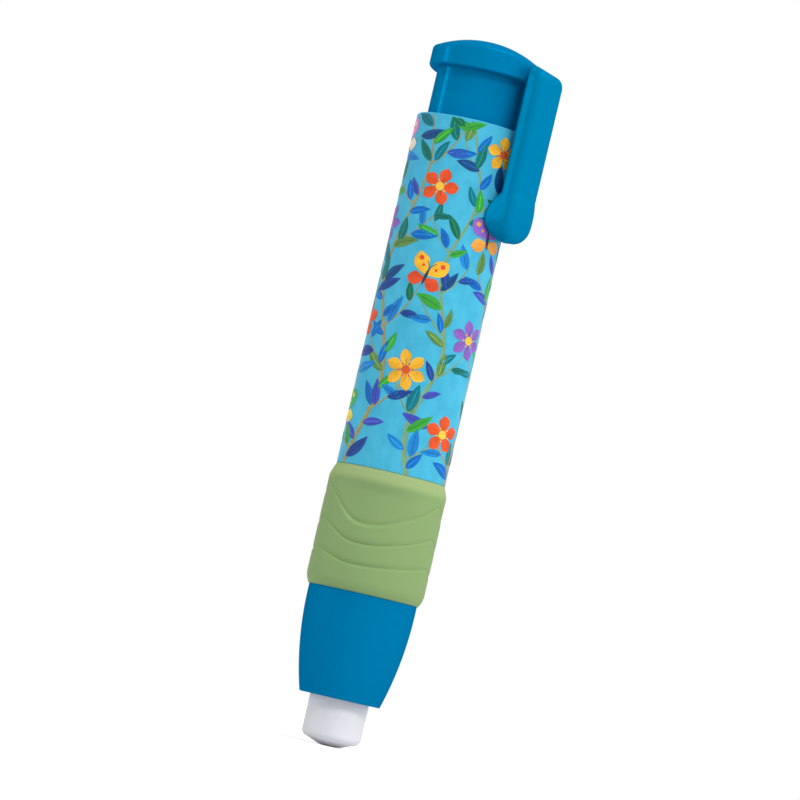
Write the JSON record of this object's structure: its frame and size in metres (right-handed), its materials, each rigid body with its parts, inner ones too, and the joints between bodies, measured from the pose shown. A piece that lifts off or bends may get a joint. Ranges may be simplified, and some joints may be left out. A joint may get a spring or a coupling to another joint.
{
  "type": "push eraser pen",
  "caption": "Triangular push-feed eraser pen with a printed barrel, soft grip, pocket clip and a round eraser stick held by a spring-loaded chuck.",
  "frame": {"origin": "middle of the eraser's end face, on the pen's long axis", "axes": "+Z along the pen from the eraser to the push cap, -Y out of the front face, the clip on the corner at 30 degrees below +X"},
  "size_m": [0.0237, 0.0206, 0.1213],
  "materials": {
    "barrel_plastic": "smooth moulded plastic under the film",
    "printed_film": "printed film, smooth with a soft gloss",
    "blue_plastic": "satin moulded plastic",
    "grip_rubber": "matte soft rubber",
    "soft_ring": "matte silicone",
    "inner_plastic": "plain moulded plastic",
    "spring_steel": "drawn wire",
    "clutch_brass": "turned",
    "eraser_white": "smooth matte, slightly rubbed at the end"
  },
  "bodies": {
    "shell": {"barrel": "barrel_plastic", "printed_wrap": "printed_film", "nose_cone": "blue_plastic", "grip_sleeve": "grip_rubber", "friction_ring": "soft_ring", "mechanism_sleeve": "inner_plastic"},
    "push_unit": {"push_cap": "blue_plastic", "carrier_tube": "inner_plastic", "chuck_collar": "inner_plastic", "return_spring": "spring_steel"},
    "clip": {"pocket_clip": "blue_plastic"},
    "clutch": {"clutch_ring": "clutch_brass"},
    "jaw_1": {"chuck_jaw_1": "inner_plastic"},
    "jaw_2": {"chuck_jaw_2": "inner_plastic"},
    "jaw_3": {"chuck_jaw_3": "inner_plastic"},
    "eraser": {"eraser_stick": "eraser_white"}
  },
  "joints": [
    {"name": "cap_push", "type": "slide", "parent": "shell", "child": "push_unit", "axis": [0, 0, -1], "range_m": [0, 0.0078], "stiffness_N_per_m": 420, "springref_m": -0.004, "deforming": ["return_spring"]},
    {"name": "clip_flex", "type": "hinge", "parent": "push_unit", "child": "clip", "pos_m": [0.00857, -0.00495, 0.1172], "axis": [-0.5, -0.866, 0], "range_deg": [0, 4], "stiffness_Nm_per_rad": 3, "springref_deg": -0.29},
    {"name": "clutch_travel", "type": "slide", "parent": "shell", "child": "clutch", "axis": [0, 0, -1], "range_m": [0, 0.003]},
    {"name": "jaw_1_open", "type": "hinge", "parent": "push_unit", "child": "jaw_1", "pos_m": [0, 0.00545, 0.031], "axis": [1, 0, 0], "range_deg": [0, 2]},
    {"name": "jaw_2_open", "type": "hinge", "parent": "push_unit", "child": "jaw_2", "pos_m": [-0.00472, -0.00272, 0.031], "axis": [-0.5, 0.866, 0], "range_deg": [0, 2]},
    {"name": "jaw_3_open", "type": "hinge", "parent": "push_unit", "child": "jaw_3", "pos_m": [0.00472, -0.00272, 0.031], "axis": [-0.5, -0.866, 0], "range_deg": [0, 2]},
    {"name": "eraser_feed", "type": "slide", "parent": "shell", "child": "eraser", "axis": [0, 0, -1], "range_m": [-0.008, 0.055]}
  ],
  "couplings": [
    {"joint": "clutch_travel", "follows": "cap_push", "ratio": 0.3846},
    {"joint": "jaw_1_open", "follows": "cap_push", "rad_per_m": 4.475},
    {"joint": "jaw_2_open", "follows": "cap_push", "rad_per_m": 4.475},
    {"joint": "jaw_3_open", "follows": "cap_push", "rad_per_m": 4.475}
  ]
}
